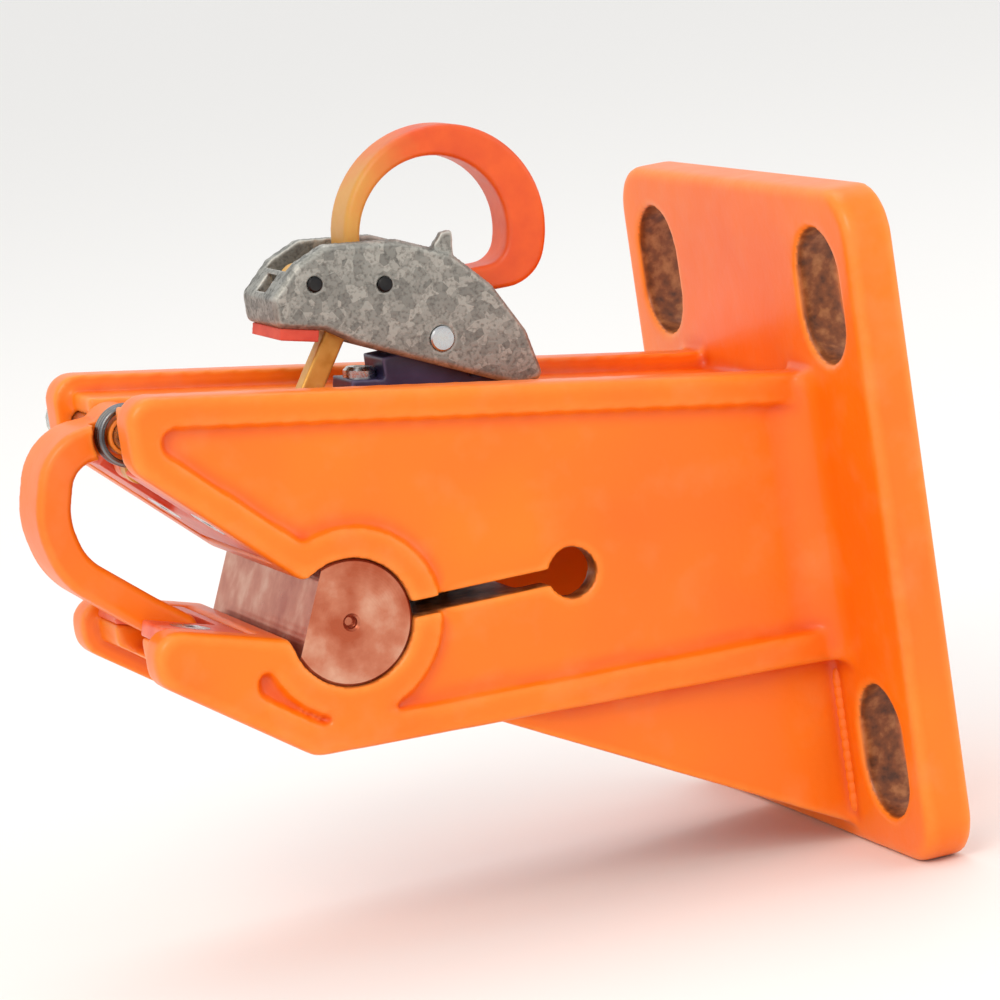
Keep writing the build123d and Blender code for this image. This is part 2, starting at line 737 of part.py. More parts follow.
# ---------------------------------------------------------------- release lever
lever_outline = [
    (-33.2, 8.2),
    (-33.2, 14.0),
    (-27.5, 19.6),
    (-21.0, 22.4),
    (-6.0, 20.8),
    (4.4, 16.4),
    (12.2, 8.4),
    (17.9, -1.8),
    (20.2, -11.8),
    (14.5, -12.2),
    (8.4, -9.6),
    (-5.5, -3.4),
    (-17.0, 1.8),
    (-23.5, 6.0),
]
lever_points = [(lever_pivot_x + dx, lever_pivot_z + dz) for dx, dz in lever_outline]
tab_x = lever_pivot_x + tab_reach
tab_z = lever_points[5][1]
with BuildPart() as lever:
    with BuildSketch(Plane.XZ) as lever_face:
        with BuildLine():
            Polyline(*lever_points, close=True)
        make_face()
        fillet(lever_face.vertices(), lever_corner_r)
    extrude(amount=lever_width / 2, both=True)
    chamfer(lever.edges().filter_by(Plane.XZ), lever_edge)
    # Open middle, where the ring and the link work between the two sides.
    with BuildSketch(Plane.XZ) as lever_middle:
        with Locations((lever_pivot_x + (lever_tail_length - lever_nose_length) / 2, lever_pivot_z)):
            Rectangle(lever_nose_length + lever_tail_length, plate_height)
    extrude(amount=lever_inner_y, both=True, mode=Mode.SUBTRACT)
    # Slot in the nose bridge for the link.
    with BuildSketch(Plane.XZ) as nose_slot:
        with Locations((lever_pivot_x - lever_nose_length, lever_pivot_z)):
            Rectangle(2 * link_eye_r, 2 * lever_bridge_height)
    extrude(amount=link_thick / 2 + gate_side_gap, both=True, mode=Mode.SUBTRACT)
    # Small upright tab on the near side.
    with BuildSketch(Plane.XZ.offset(lever_width / 2 - lever_edge - tab_thick)) as tab_face:
        with BuildLine():
            Polyline(
                (tab_x - tab_length, tab_z - tab_height),
                (tab_x - tab_length / 2, tab_z + tab_height / 2),
                (tab_x, tab_z + tab_height),
                (tab_x + tab_length / 2, tab_z + tab_height),
                (tab_x + tab_length / 3, tab_z - tab_height),
                close=True,
            )
        make_face()
    extrude(amount=tab_thick)
    with BuildSketch(Plane.XZ) as lever_bores:
        with Locations((lever_pivot_x, lever_pivot_z)):
            Circle(lever_pin_r)
        with Locations(link_top):
            Circle(link_pin_r)
        with Locations(ring_pin_place):
            Circle(ring_pin_r)
    extrude(amount=lever_width, both=True, mode=Mode.SUBTRACT)
finish(lever.part, "release_lever")

for name, centre, radius in [
    ("lever_pin", (lever_pivot_x, lever_pivot_z), lever_pin_r),
    ("link_pin", link_top, link_pin_r),
    ("ring_pin", ring_pin_place, ring_pin_r),
]:
    with BuildPart() as pin:
        with BuildSketch(Plane.XZ) as pin_face:
            with Locations(centre):
                Circle(radius)
        extrude(amount=lever_width / 2 + pin_proud, both=True)
        chamfer(pin.edges().filter_by(Plane.XZ), pin_proud / 2)
    finish(pin.part, name)

nose_length = hypot(lever_points[13][0] - lever_points[0][0], lever_points[13][1] - lever_points[0][1])
pad_trim = (nose_length - pad_length) / 2
pad_corners = jaw_strip(lever_points[0], lever_points[13], 1, -pad_thick, 0, pad_trim, pad_trim)
with BuildPart() as nose_pad:
    with BuildSketch(Plane.XZ) as pad_face:
        with BuildLine():
            Polyline(*pad_corners, close=True)
        make_face()
    extrude(amount=lever_width / 2 - pad_inset, both=True)
    # Groove that leaves the link room under the nose.
    with BuildSketch(Plane.XZ) as pad_slot:
        with Locations(pad_corners[1]):
            Rectangle(2 * link_eye_r, 4 * pad_thick)
    extrude(amount=link_thick / 2 + gate_side_gap, both=True, mode=Mode.SUBTRACT)
finish(nose_pad.part, "nose_pad")

# ---------------------------------------------------------------- link
with BuildPart() as link:
    with BuildSketch(Plane.XZ) as link_face:
        with BuildLine():
            FilletPolyline(link_top, link_knee, link_elbow, crank_pin, radius=link_bend_r)
            offset(amount=link_bar / 2, side=Side.BOTH)
        make_face()
        with Locations(link_top, crank_pin):
            Circle(link_eye_r)
        with Locations(link_top):
            Circle(link_pin_r + running, mode=Mode.SUBTRACT)
        with Locations(crank_pin):
            Circle(link_pin_r + open_pivot_clearance, mode=Mode.SUBTRACT)
    extrude(amount=link_thick / 2, both=True)
finish(link.part, "link")

# ---------------------------------------------------------------- pull ring
with BuildPart() as pull_ring:
    with BuildSketch(Plane.XZ) as ring_face:
        with Locations((ring_x, ring_z)):
            Circle(ring_outer_r)
        with Locations((ring_x, ring_floor_z - ring_outer_r)):
            Rectangle(4 * ring_outer_r, 2 * ring_outer_r, mode=Mode.SUBTRACT)
        fillet(ring_face.vertices(), ring_corner_r)
        with BuildSketch(mode=Mode.SUBTRACT) as ring_hole:
            with Locations((ring_x - ring_hole_shift, ring_z)):
                Circle(ring_inner_r)
            with Locations((ring_x, ring_floor_z + ring_bar - ring_outer_r)):
                Rectangle(4 * ring_outer_r, 2 * ring_outer_r, mode=Mode.SUBTRACT)
            fillet(ring_hole.vertices(), ring_hole_corner_r)
    extrude(amount=ring_half_width, both=True)
    ring_rims = pull_ring.edges().filter_by(Plane.XZ)
    fillet(ring_rims.group_by(Axis.Y)[0] + ring_rims.group_by(Axis.Y)[-1], ring_edge_r)
    # Lobe for the ring's pin.
    with BuildSketch(Plane.XZ) as ring_lobe:
        with Locations(ring_pin_place):
            Circle(ring_lobe_r)
    extrude(amount=ring_half_width - ring_edge_r / 2, both=True)
    with BuildSketch(Plane.XZ) as ring_bore:
        with Locations(ring_pin_place):
            Circle(ring_pin_r + running)
    extrude(amount=lever_width, both=True, mode=Mode.SUBTRACT)
finish(pull_ring.part, "pull_ring")
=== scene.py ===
# %% [markdown]
# # Beam clamp with a bolt-on plate and a sprung gate
#
# The clamp's sizes and motion were fixed in its CAD model. This scene dresses that model: it rounds
# the cast pieces, cuts threads on the screws, gives every finish its grain and gloss, and lights the
# whole. Each step says what the piece is on the real clamp, how it could be made, and why this way
# was chosen.

# %% Load the frame
import json
from math import pi, radians

import bmesh
import bpy
import numpy as np
from mathutils import Matrix, Vector


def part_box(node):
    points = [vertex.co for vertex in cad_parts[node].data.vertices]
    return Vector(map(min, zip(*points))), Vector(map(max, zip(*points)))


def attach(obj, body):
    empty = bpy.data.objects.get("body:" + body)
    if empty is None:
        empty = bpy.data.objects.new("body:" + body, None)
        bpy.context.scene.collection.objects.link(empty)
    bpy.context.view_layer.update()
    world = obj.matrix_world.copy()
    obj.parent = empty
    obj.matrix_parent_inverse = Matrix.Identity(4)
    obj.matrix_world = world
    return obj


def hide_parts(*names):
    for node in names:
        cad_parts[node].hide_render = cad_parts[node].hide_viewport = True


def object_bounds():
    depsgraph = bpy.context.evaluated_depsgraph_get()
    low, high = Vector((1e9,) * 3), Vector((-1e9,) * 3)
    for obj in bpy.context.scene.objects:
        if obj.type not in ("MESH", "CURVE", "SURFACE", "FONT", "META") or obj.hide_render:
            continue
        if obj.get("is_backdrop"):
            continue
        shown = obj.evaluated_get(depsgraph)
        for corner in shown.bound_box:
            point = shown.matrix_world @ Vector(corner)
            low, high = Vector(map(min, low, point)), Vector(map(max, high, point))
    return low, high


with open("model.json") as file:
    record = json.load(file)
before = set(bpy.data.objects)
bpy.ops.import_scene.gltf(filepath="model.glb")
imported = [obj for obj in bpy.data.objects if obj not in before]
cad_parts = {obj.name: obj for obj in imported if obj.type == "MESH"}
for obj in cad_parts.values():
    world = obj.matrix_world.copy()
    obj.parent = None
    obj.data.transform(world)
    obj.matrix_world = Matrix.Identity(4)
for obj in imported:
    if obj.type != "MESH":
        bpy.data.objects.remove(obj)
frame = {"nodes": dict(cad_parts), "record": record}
cad_low, cad_high = (np.array(corner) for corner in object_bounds())
nodes = frame["nodes"]
slots = {entry["node"]: entry["material_slot"] for entry in frame["record"]["subparts"]}
joints = {joint["name"]: joint for joint in frame["record"]["behaviour"]["joints"]}
MM = 0.001


def corners(node):
    """The low and high corners of a CAD node's box, as arrays."""
    low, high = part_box(node)
    return np.array(low), np.array(high)


print("nodes:", len(nodes), "size in mm:", np.round((cad_high - cad_low) / MM, 1))

# %% [markdown]
# ## Camera
#
# A long lens keeps the clamp's sides nearly parallel, as in a catalogue view. The camera stands a
# metre away, a little above the clamp and to the left of square on, and leans to one side, so the
# mouth points slightly down. Its direction is built from two angles, then turned about its own line
# of sight.

# %% Camera
camera_azimuth = radians(-19.4)
camera_height = radians(9.6)
camera_lean = radians(-8.6)
camera_distance = 1.002
look_at = Vector((cad_low + cad_high) / 2) + Vector((14.6, 0, 1.4)) * MM

towards_camera = Vector((
    np.sin(camera_azimuth) * np.cos(camera_height),
    -np.cos(camera_azimuth) * np.cos(camera_height),
    np.sin(camera_height),
))
level_right = (-towards_camera).cross(Vector((0, 0, 1))).normalized()
level_up = level_right.cross(-towards_camera)
leaning_right = level_right * np.cos(camera_lean) + level_up * np.sin(camera_lean)
leaning_up = level_up * np.cos(camera_lean) - level_right * np.sin(camera_lean)

camera_data = bpy.data.cameras.new("camera")
camera_data.lens = 180
camera_data.sensor_width = 36
camera = bpy.data.objects.new("camera", camera_data)
turn = Matrix((leaning_right, leaning_up, towards_camera)).transposed().to_4x4()
camera.matrix_world = Matrix.Translation(look_at + towards_camera * camera_distance) @ turn
bpy.context.collection.objects.link(camera)
bpy.context.scene.camera = camera
print("camera at", [round(value, 3) for value in camera.matrix_world.translation])

# %% [markdown]
# ## Floor and light
#
# A paint colour this strong is easy to spoil: the usual film-like view transform turns bright orange
# towards salmon, so the plain one is used. Large soft lights stand to the left, right and above.
# Each is more than half a metre wide, which gives the painted rims long, gentle highlights.

# %% Floor, sky and lights
def linear(hex_colour):
    """An sRGB hex colour as linear red, green, blue and 1: a power curve with a straight toe."""
    srgb = np.array([int(hex_colour[at:at + 2], 16) for at in (1, 3, 5)]) / 255
    toe = srgb / 12.92
    curve = ((srgb + 0.055) / 1.055) ** 2.4
    return (*np.where(srgb <= 0.04045, toe, curve).tolist(), 1.0)


def area_light(name, place, width, power, colour):
    """A square lamp at a place given in metres from the clamp, facing the clamp."""
    lamp = bpy.data.lights.new(name, "AREA")
    lamp.size = width
    lamp.energy = power
    lamp.color = linear(colour)[:3]
    holder = bpy.data.objects.new(name, lamp)
    holder.location = look_at + Vector(place)
    holder.rotation_euler = (look_at - holder.location).to_track_quat("-Z", "Y").to_euler()
    bpy.context.collection.objects.link(holder)


scene = bpy.context.scene
scene.view_settings.view_transform = "Standard"
sky = bpy.data.worlds.new("studio_sky")
sky.use_nodes = True
sky.node_tree.nodes["Background"].inputs["Color"].default_value = linear("#FFFFFF")
sky.node_tree.nodes["Background"].inputs["Strength"].default_value = 0.92
scene.world = sky
area_light("key", (-0.7, -0.9, 0.9), 0.6, 6.5, "#FFF6EA")
area_light("fill", (1.0, -0.7, 0.35), 0.7, 2, "#FFF3E4")
area_light("top", (0.1, 0.4, 1.2), 0.8, 3, "#FFFFFF")

floor_mesh = bpy.data.meshes.new("floor")
reach = 12.0
floor_z = float(cad_low[2])
floor_mesh.from_pydata(
    [(reach * x, reach * y, floor_z) for x, y in ((-1, -1), (1, -1), (1, 1), (-1, 1))],
    [],
    [(0, 1, 2, 3)],
)
floor = bpy.data.objects.new("floor", floor_mesh)
bpy.context.collection.objects.link(floor)
floor_paper = bpy.data.materials.new("floor_paper")
floor_paper.use_nodes = True
paper_shader = floor_paper.node_tree.nodes["Principled BSDF"]
paper_shader.inputs["Base Color"].default_value = linear("#F2F1EF")
paper_shader.inputs["Roughness"].default_value = 0.9
floor_mesh.materials.append(floor_paper)
floor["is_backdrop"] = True
print("floor at", round(floor_z, 4), "m")

# %% [markdown]
# ## One cast body from four nodes
#
# On the real clamp the plate, cheeks, cross walls and gussets are one painted body: no seam shows
# between them and no edge is sharp, because sand casting and thick powder paint round everything.
# Bevelling each part would leave the seams. Melting the parts together in a voxel grid and then
# smoothing gives both the joined surface and the soft edges in one go. Voxels a little under a
# millimetre keep the 3 mm slit open.

# %% Voxel casting helper
def merged_copy(name, *sources):
    """A new object whose mesh holds the meshes of some CAD nodes, with their loose triangles joined."""
    joined = bmesh.new()
    for source in sources:
        joined.from_mesh(nodes[source].data)
    bmesh.ops.remove_doubles(joined, verts=joined.verts, dist=0.002 * MM)
    mesh = bpy.data.meshes.new(name)
    joined.to_mesh(mesh)
    joined.free()
    piece = bpy.data.objects.new(name, mesh)
    bpy.context.collection.objects.link(piece)
    return piece


def vertex_places(mesh, field="co"):
    """All vertex places, or normals, of a mesh as one array of rows."""
    rows = np.empty(len(mesh.vertices) * 3)
    mesh.vertices.foreach_get(field, rows)
    return rows.reshape(-1, 3)


def neighbour_mean(places, edges):
    """The mean of each vertex's neighbours: sum over the edges, divided by the number of edges."""
    total = np.zeros_like(places)
    for near, far in ((0, 1), (1, 0)):
        for axis in range(3):
            total[:, axis] += np.bincount(edges[:, near], places[edges[:, far], axis], len(places))
    count = np.bincount(edges.ravel(), minlength=len(places))
    return total / np.maximum(count, 1)[:, None]


blur_rounds = 12


def mark_edges(mesh, reach):
    """Stores how far each vertex stands out of its blurred surroundings: above 0 on an outer edge,
    below 0 in an inner corner. It is the gap to the blurred surface, measured along the normal and
    divided by the reach."""
    ends = np.empty(len(mesh.edges) * 2, dtype=int)
    mesh.edges.foreach_get("vertices", ends)
    ends = ends.reshape(-1, 2)
    places = vertex_places(mesh)
    blurred = places
    for _ in range(blur_rounds):
        blurred = neighbour_mean(blurred, ends)
    stand = np.einsum("ij,ij->i", places - blurred, vertex_places(mesh, "normal")) / reach
    layer = mesh.attributes.new("edge", "FLOAT", "POINT")
    layer.data.foreach_set("value", np.clip(stand, -1, 1))


def cast(name, sources, voxel, rounds, body, keep=1.0):
    """Melts CAD nodes into one soft-edged piece: voxel remesh, smooth, thin out, and mark its edges."""
    piece = merged_copy(name, *sources)
    grid = piece.modifiers.new("melt", "REMESH")
    grid.mode = "VOXEL"
    grid.voxel_size = voxel * 1
    grid.use_smooth_shade = True
    soften = piece.modifiers.new("soften", "SMOOTH")
    soften.factor = 0.5
    soften.iterations = rounds
    if keep < 1:
        thin = piece.modifiers.new("thin", "DECIMATE")
        thin.ratio = keep
    solved = piece.evaluated_get(bpy.context.evaluated_depsgraph_get())
    mesh = bpy.data.meshes.new_from_object(solved)
    piece.modifiers.clear()
    piece.data = mesh
    mesh.shade_smooth()
    mark_edges(mesh, voxel)
    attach(piece, body)
    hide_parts(*sources)
    print(name, "has", len(mesh.polygons), "faces")
    return piece


body_sources = ["side_cheeks", "cross_walls", "base_plate", "gussets"]
print("CAD faces to melt:", sum(len(nodes[source].data.polygons) for source in body_sources))

# %% [markdown]
# ## Painted shade in the bores
#
# The walls of the bolt holes, the seat's pocket and the slit get a dark brown, mottled painted shade.
# A second material would leave a hard, jagged border on a voxel mesh. A number on each vertex, 1 on a
# bore wall and 0 elsewhere, lets one finish blend between the two.

# %% Bore walls for the painted shade
slit_half_height = 1.5 * MM
stop_hole_x = -64 * MM
stop_hole_r = 5 * MM
wall_depth = 0.5 * MM
slit_wall_depth = 0.4 * MM
most_along_axis = 0.55


def smooth_step(gap, width):
    """1 where the gap is below 0, falling evenly to 0 at the width."""
    return np.clip(1 - gap / width, 0, 1)


def mark_bore_walls(mesh):
    """Stores 1 on the walls of every bore, which get a dark painted shade: the bolt holes, the seat's
    pocket, the slit and its stop hole. A wall lies less than half a millimetre outside the bore's
    outline and faces across the bore's axis."""
    places = vertex_places(mesh)
    normals = vertex_places(mesh, "normal")
    bore_wall = np.zeros(len(places))
    for mount in frame["record"]["mounts"]:
        if mount["kind"] != "bolt_pattern":
            continue
        sizes = mount["dims"]
        straight = (sizes["slot_length_mm"] / 2 - sizes["hole_r_mm"]) * MM
        for side in (-1, 1):
            middle_z = mount["pos_m"][2] + side * sizes["spacing_y_mm"] / 2 * MM
            above = np.maximum(np.abs(places[:, 2] - middle_z) - straight, 0)
            out = np.hypot(places[:, 1] - mount["pos_m"][1], above) - sizes["hole_r_mm"] * MM
            across = np.abs(normals[:, 0]) < most_along_axis
            bore_wall = np.maximum(bore_wall, smooth_step(out, wall_depth) * across)
    seat_low, seat_high = corners("swivel_seat")
    seat_r = (seat_high[2] - seat_low[2]) / 2
    pocket = joints["seat_swivel"]["pos_m"]
    upright = np.abs(normals[:, 1]) < most_along_axis
    for centre_x, radius in ((pocket[0], seat_r), (stop_hole_x, stop_hole_r)):
        out = np.hypot(places[:, 0] - centre_x, places[:, 2] - pocket[2]) - radius
        bore_wall = np.maximum(bore_wall, smooth_step(out, wall_depth) * upright)
    within = (places[:, 0] > pocket[0]) & (places[:, 0] < stop_hole_x)
    out = np.abs(places[:, 2] - pocket[2]) - slit_half_height
    bore_wall = np.maximum(bore_wall, smooth_step(out, slit_wall_depth) * upright * within)
    layer = mesh.attributes.new("bore_wall", "FLOAT", "POINT")
    layer.data.foreach_set("value", bore_wall)
    print(mesh.name, "bare on", int((bore_wall > 0.5).sum()), "vertices")


print("slit from", round(joints["seat_swivel"]["pos_m"][0], 4), "to", round(stop_hole_x, 4), "m")

# %% Cast body and gate
body = cast("painted_body", body_sources, 0.8 * MM, 7, "root", 0.45)
mark_bore_walls(body.data)
gate = cast("safety_gate", ["gate"], 0.45 * MM, 4, "gate")

# %% [markdown]
# ## Weld beads
#
# The gussets are welded to the plate under the cheeks. A weld is a row of overlapping puddles, so
# its bead is a rounded strip that swells and sinks every couple of millimetres, with curved ripples.
# The bead here is a tube that runs down the corner, half buried in the two plates. Its radius follows
# the ripples, and both of its ends taper to nothing.

# %% Weld bead
def closed_rings(name, points):
    """A mesh from a grid of points, ring by ring: each point is joined to the next on its ring and
    to the same one on the next ring, and the first and last rings are filled."""
    rings, steps = points.shape[:2]
    ring, step = np.meshgrid(np.arange(rings - 1), np.arange(steps), indexing="ij")
    after = (step + 1) % steps
    quads = np.stack([
        ring * steps + step, ring * steps + after, (ring + 1) * steps + after, (ring + 1) * steps + step,
    ], axis=-1).reshape(-1, 4)
    caps = [list(range(steps))[::-1], [(rings - 1) * steps + at for at in range(steps)]]
    mesh = bpy.data.meshes.new(name)
    mesh.from_pydata(points.reshape(-1, 3).tolist(), [], quads.tolist() + caps)
    shaped = bmesh.new()
    shaped.from_mesh(mesh)
    bmesh.ops.recalc_face_normals(shaped, faces=shaped.faces)
    shaped.to_mesh(mesh)
    shaped.free()
    mesh.shade_smooth()
    return mesh


bead_radius = 1.3 * MM
ripple = 2.2 * MM
ripple_lag = 0.35
ripple_height = 0.14
bead_top_z = -30 * MM
bead_end_gap = 2 * MM


def weld_bead(name, start, end, out):
    """A closed tube from start to end. Its radius is the taper times nine tenths plus a seventh of a
    ripple wave, the wave lags behind towards the sides, and its centre is on the corner line."""
    share = np.linspace(0, 1, 240)[:, None]
    angles = np.linspace(0, 2 * pi, 16, endpoint=False)[None, :]
    start, end, out = (np.array(value, dtype=float) for value in (start, end, out))
    run = end - start
    length = np.linalg.norm(run)
    side = np.cross(run / length, out)
    lag = ripple_lag * ripple * np.cos(angles)
    wave = np.abs(np.sin(pi * (share * length - lag) / ripple))
    to_end = np.minimum(share, 1 - share) * length
    taper = np.sqrt(np.clip(to_end / (2 * bead_radius), 0.001, 1))
    thickness = bead_radius * taper * (0.9 + ripple_height * wave)
    mesh = closed_rings(name, (
        start
        + share[:, :, None] * run
        + out * (np.cos(angles) * thickness)[:, :, None]
        + side * (np.sin(angles) * thickness)[:, :, None]
    ))
    bead = bpy.data.objects.new(name, mesh)
    bpy.context.collection.objects.link(bead)
    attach(bead, "root")
    print(name, "has", len(mesh.polygons), "faces")
    return bead


gusset_low, gusset_high = corners("gussets")
plate_face_x = corners("base_plate")[0][0]
beads = []
for side, side_name, gusset_y in ((-1, "near", gusset_low[1]), (1, "far", gusset_high[1])):
    beads.append(weld_bead(
        f"gusset_weld_{side_name}",
        (plate_face_x, gusset_y, bead_top_z),
        (plate_face_x, gusset_y, gusset_low[2] + bead_end_gap),
        (-0.7071, side * 0.7071, 0),
    ))

# %% [markdown]
# ## Small cast and moulded pieces
#
# The lever is cast and galvanised, the link is punched from strip, the pedestal is a painted block,
# and the ring and pads are moulded. Punching, casting and moulding all leave rounded edges, only
# smaller ones than on the body, so the same helper makes them with finer voxels.

# %% Lever, link, pedestal, ring and pads
lever = cast("lever_casting", ["release_lever"], 0.34 * MM, 4, "lever")
link = cast("punched_link", ["link"], 0.3 * MM, 3, "link")
pedestal = cast("painted_pedestal", ["lever_pedestal"], 0.35 * MM, 4, "root")
ring = cast("moulded_ring", ["pull_ring"], 0.45 * MM, 3, "ring")
pad = cast("nose_bumper", ["nose_pad"], 0.25 * MM, 4, "lever")
upper_liner = cast("upper_liner_pad", ["upper_jaw_liner"], 0.4 * MM, 3, "root")
lower_liner = cast("lower_liner_pad", ["lower_jaw_liner"], 0.4 * MM, 3, "root")

# %% [markdown]
# ## Grip on the lever
#
# A thumb presses the lever's nose and slides if the metal is smooth, so its outer rim is knurled: a
# rolling tool pushes up rows of small pyramids in two crossed directions. Real ridges that a light
# can catch look better than painted ones, so each vertex of the rim moves outwards.

# %% Knurl
knurl_pitch = 1.5 * MM
knurl_height = 0.14 * MM
inner_r = 13 * MM
rim_r = 24 * MM
inner_fade = 2 * MM
side_fade = 1.2 * MM
least_facing, facing_fade = 0.25, 0.2
most_sideways, sideways_fade = 0.75, 0.3


def knurl_height_at(along, across):
    """Pyramids in crossed rows: the smaller of two ridge waves, each a triangle wave of a diagonal."""
    def ridge(distance):
        return 1 - np.abs(2 * (distance / knurl_pitch % 1) - 1)
    return np.minimum(ridge(along + across), ridge(along - across))


def knurl_rim(piece, half_width):
    """Raises knurling on the part of the rim that faces up or forward. It fades towards the sides,
    towards the pivot, and where the surface turns away."""
    mesh = piece.data
    places = vertex_places(mesh)
    normals = vertex_places(mesh, "normal")
    up_or_forward = normals[:, 2] - 0.35 * normals[:, 0]
    facing = np.clip((up_or_forward - least_facing) / facing_fade, 0, 1)
    flat = np.clip((most_sideways - np.abs(normals[:, 1])) / sideways_fade, 0, 1)
    pivot = np.array(joints["lever_swing"]["pos_m"])
    out = np.hypot(places[:, 0] - pivot[0], places[:, 2] - pivot[2])
    around = np.arctan2(places[:, 2] - pivot[2], places[:, 0] - pivot[0])
    outer = np.clip((out - inner_r) / inner_fade, 0, 1)
    edge_room = np.clip((half_width - np.abs(places[:, 1])) / side_fade, 0, 1)
    lift = knurl_height_at(around * rim_r, places[:, 1]) * knurl_height
    lift *= facing * flat * outer * edge_room
    mesh.vertices.foreach_set("co", (places + normals * lift[:, None]).ravel())
    mesh.update()
    print(piece.name, "raised on", int((lift > 0.1 * knurl_height).sum()), "vertices")


lever_low, lever_high = corners("release_lever")
knurl_rim(lever, (lever_high[1] - lever_low[1]) / 2)

# %% [markdown]
# ## Screws
#
# A socket screw is a turned piece, so its surface is a profile spun round an axis. Two things aren't
# round: the thread, whose ridges climb as they go round, and the six-sided socket. Both fit the same
# grid of height against angle if the radius is allowed to depend on both.

# %% Screw surface
def spun(name, heights, radii, centre, axis, node):
    """A mesh of rings round an axis. A ring is one row of heights and radii, angle by angle, and a
    point is centre + axis * height + (side * cos(angle) + other * sin(angle)) * radius."""
    angles = np.linspace(0, 2 * pi, radii.shape[1], endpoint=False)
    axis = np.array(axis, dtype=float)
    side = np.array([1.0, 0, 0])
    other = np.cross(axis, side)
    round_way = side[None, :] * np.cos(angles)[:, None] + other[None, :] * np.sin(angles)[:, None]
    points = np.array(centre) + axis * heights[:, :, None] + round_way[None, :, :] * radii[:, :, None]
    mesh = closed_rings(name, points)
    mesh.set_sharp_from_angle(angle=radians(38))
    piece = bpy.data.objects.new(name, mesh)
    bpy.context.collection.objects.link(piece)
    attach(piece, "root")
    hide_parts(node)
    print(name, "has", len(mesh.polygons), "faces")
    return piece


for screw in ("pinch_screw", "gate_hinge_screw"):
    screw_low, screw_high = corners(screw)
    print(screw, "is", np.round((screw_high - screw_low) / MM, 1), "mm")

# %% Socket screw
round_steps = 72
flute_count = 18
flute_depth = 0.12 * MM
groove_share = 0.55
point_cut = 1.4
sixth = pi / 3


def threaded_shank(angles, length, shank_r, pitch, threaded):
    """Heights and radii of the shank. The radius is the outer one less a triangle wave of
    height / pitch - angle / full turn. It is cut back to a point at the tip, and the thread fades
    out over one pitch at the threaded length, or nearly at the head if that is sooner."""
    groove = groove_share * pitch
    heights = np.arange(0, length, pitch / 10)
    phase = (heights[:, None] / pitch - angles[None, :] / (2 * pi)) % 1
    thread = shank_r - groove * np.abs(2 * phase - 1)
    lead_in = np.clip(heights / (0.6 * pitch), 0, 1)[:, None]
    thread_end = min(threaded, length - pitch)
    plain = np.clip((heights - thread_end + pitch) / pitch, 0, 1)[:, None]
    shank = np.minimum(thread, shank_r - point_cut * groove * (1 - lead_in))
    return np.repeat(heights[:, None], len(angles), axis=1), shank * (1 - plain) + shank_r * plain


def socket_head(angles, length, shank_r, head_r, head_height):
    """Heights and radii of the head, from under it to the middle of the socket's floor. The side has
    fine flutes, and the socket's radius is the flat's distance / cos(angle from the flat's middle)."""
    flutes = flute_depth * (1 + np.cos(flute_count * angles)) / 2
    flat = 0.86 * shank_r
    hexagon = flat / np.cos((angles + sixth / 2) % sixth - sixth / 2)
    edge = 0.12 * head_height
    top = length + head_height
    socket_floor = top - 0.5 * head_height
    even = np.ones(len(angles))
    rows = [
        (length, shank_r * even),
        (length, (head_r - edge / 2) * even),
        (length + edge / 2, head_r - flutes),
        (top - edge, head_r - flutes),
        (top, (head_r - edge) * even),
        (top, hexagon + edge / 2),
        (top - edge / 2, hexagon),
        (socket_floor, hexagon),
        (socket_floor - flat / 2, 0.02 * MM * even),
    ]
    return np.array([height * even for height, _ in rows]), np.array([radius for _, radius in rows])


def socket_screw(name, node, centre, axis, shank_r, head_height, pitch, threaded):
    """A socket screw in place of a CAD node, from its tip at the centre along the axis. Its whole
    length and its head's radius are those of the node's box."""
    low, high = corners(node)
    length = np.abs(np.dot(high - low, axis)) - head_height
    head_r = (high[0] - low[0]) / 2
    angles = np.linspace(0, 2 * pi, round_steps, endpoint=False)
    shank = threaded_shank(angles, length, shank_r, pitch, threaded)
    head = socket_head(angles, length, shank_r, head_r, head_height)
    heights, radii = (np.vstack(both) for both in zip(shank, head))
    return spun(name, heights, radii, centre, axis, node)


print("flutes round a head:", flute_count)

# %% Pinch screw and gate hinge screw
full_thread = 1.0
pinch_low, pinch_high = corners("pinch_screw")
pinch_tip = (*((pinch_low + pinch_high) / 2)[:2], pinch_high[2])
pinch = socket_screw(
    "pinch_socket_screw", "pinch_screw", pinch_tip, (0, 0, -1), 4 * MM, 8 * MM, 1.25 * MM, full_thread
)
hinge_low, hinge_high = corners("gate_hinge_screw")
hinge_middle = (hinge_low + hinge_high) / 2
hinge_tip = (hinge_middle[0], hinge_low[1], hinge_middle[2])
hinge = socket_screw(
    "hinge_socket_screw", "gate_hinge_screw", hinge_tip, (0, 1, 0), 3 * MM, 3 * MM, 1 * MM, 8 * MM
)

# %% [markdown]
# ## Finishes
#
# Every finish reads the piece's own coordinates in metres, so a pattern's scale is one divided by
# the size of its features. Most finishes need the same few things: a slow drift in colour, a finer
# one in roughness, and a small bump. Each finish below sets them for its own way of being made.

# %% Node helpers
def fill(tree, node, inputs):
    """Sets each named input of a node. A plain value is stored, a socket is linked, and a node stands
    for its first output."""
    for name, value in inputs.items():
        if isinstance(value, bpy.types.Node):
            value = value.outputs[0]
        if isinstance(value, bpy.types.NodeSocket):
            tree.links.new(value, node.inputs[name])
        else:
            node.inputs[name].default_value = value


def add(tree, kind, inputs, stops=(), **settings):
    """One more node with its settings and links. Stops are a ramp's places and hex colours."""
    made = tree.nodes.new(kind)
    for name, value in settings.items():
        setattr(made, name, value)
    fill(tree, made, inputs)
    if stops:
        points = made.color_ramp.elements
        for point, (position, hex_colour) in ((points[0], stops[0]), (points[1], stops[-1])):
            point.position = position
            point.color = linear(hex_colour)
        for position, hex_colour in stops[1:-1]:
            points.new(position).color = linear(hex_colour)
    return made


